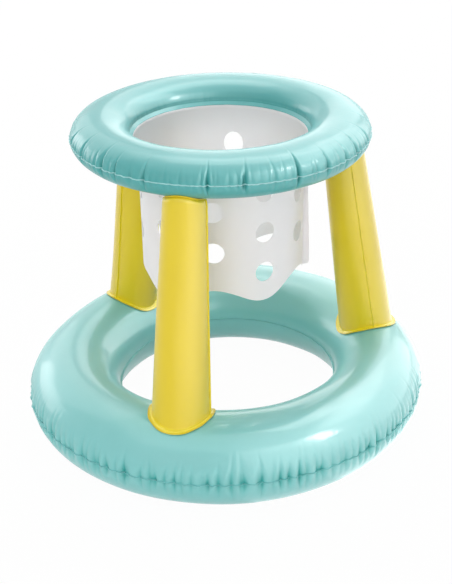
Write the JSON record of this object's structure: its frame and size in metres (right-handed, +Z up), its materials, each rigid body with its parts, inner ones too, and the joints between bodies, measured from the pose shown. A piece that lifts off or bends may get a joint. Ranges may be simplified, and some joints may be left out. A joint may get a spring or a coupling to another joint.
{
  "type": "floating basketball hoop",
  "caption": "Inflatable pool hoop: a wide floating ring, leaning air legs, a smaller hoop ring and a hanging net with round holes.",
  "frame": {"origin": "on the floor, on the axis that the base ring and the hoop ring share", "axes": "+Z up along both rings' axis, -Y towards the front leg, +Y towards the side with the air valves"},
  "size_m": [0.67, 0.67, 0.5377],
  "materials": {
    "aqua_film": "glossy vinyl film",
    "yellow_film": "satin vinyl film",
    "white_film": "soft satin vinyl sheet",
    "valve_vinyl": "soft moulded vinyl"
  },
  "bodies": {
    "root": {"base_upper_skin": "aqua_film", "base_lower_skin": "aqua_film", "hoop_upper_skin": "aqua_film", "hoop_lower_skin": "aqua_film", "leg_front_outer_panel": "yellow_film", "leg_front_inner_panel": "yellow_film", "leg_front_foot_collar": "yellow_film", "leg_front_head_collar": "yellow_film", "leg_right_outer_panel": "yellow_film", "leg_right_inner_panel": "yellow_film", "leg_right_foot_collar": "yellow_film", "leg_right_head_collar": "yellow_film", "leg_left_outer_panel": "yellow_film", "leg_left_inner_panel": "yellow_film", "leg_left_foot_collar": "yellow_film", "leg_left_head_collar": "yellow_film", "net_sheet": "white_film", "base_valve_flange": "valve_vinyl", "base_valve_membrane": "valve_vinyl", "hoop_valve_flange": "valve_vinyl", "hoop_valve_membrane": "valve_vinyl"},
    "base_stem": {"base_valve_stem": "valve_vinyl", "base_valve_strap": "valve_vinyl"},
    "base_plug": {"base_valve_plug": "valve_vinyl"},
    "base_flap": {"base_valve_flap": "valve_vinyl"},
    "hoop_stem": {"hoop_valve_stem": "valve_vinyl", "hoop_valve_strap": "valve_vinyl"},
    "hoop_plug": {"hoop_valve_plug": "valve_vinyl"},
    "hoop_flap": {"hoop_valve_flap": "valve_vinyl"}
  },
  "joints": [
    {"name": "base_stem_slide", "type": "slide", "parent": "root", "child": "base_stem", "axis": [0, 0.7507, 0.6606], "range_m": [0, 0.013], "deforming": ["base_valve_membrane"]},
    {"name": "base_plug_slide", "type": "slide", "parent": "base_stem", "child": "base_plug", "axis": [0, 0.7507, 0.6606], "range_m": [0, 0.009], "deforming": ["base_valve_strap"]},
    {"name": "base_flap_swing", "type": "hinge", "parent": "base_stem", "child": "base_flap", "pos_m": [-0.0052, 0.3045, 0.10408], "axis": [0, 0.6606, -0.7507], "range_deg": [0, 60], "stiffness_Nm_per_rad": 0.00002, "springref_deg": -28.65},
    {"name": "hoop_stem_slide", "type": "slide", "parent": "root", "child": "hoop_stem", "axis": [0, 0.7077, 0.7066], "range_m": [0, 0.013], "deforming": ["hoop_valve_membrane"]},
    {"name": "hoop_plug_slide", "type": "slide", "parent": "hoop_stem", "child": "hoop_plug", "axis": [0, 0.7077, 0.7066], "range_m": [0, 0.009], "deforming": ["hoop_valve_strap"]},
    {"name": "hoop_flap_swing", "type": "hinge", "parent": "hoop_stem", "child": "hoop_flap", "pos_m": [-0.0052, 0.21504, 0.51339], "axis": [0, 0.7066, -0.7077], "range_deg": [0, 60], "stiffness_Nm_per_rad": 0.00002, "springref_deg": -28.65}
  ]
}
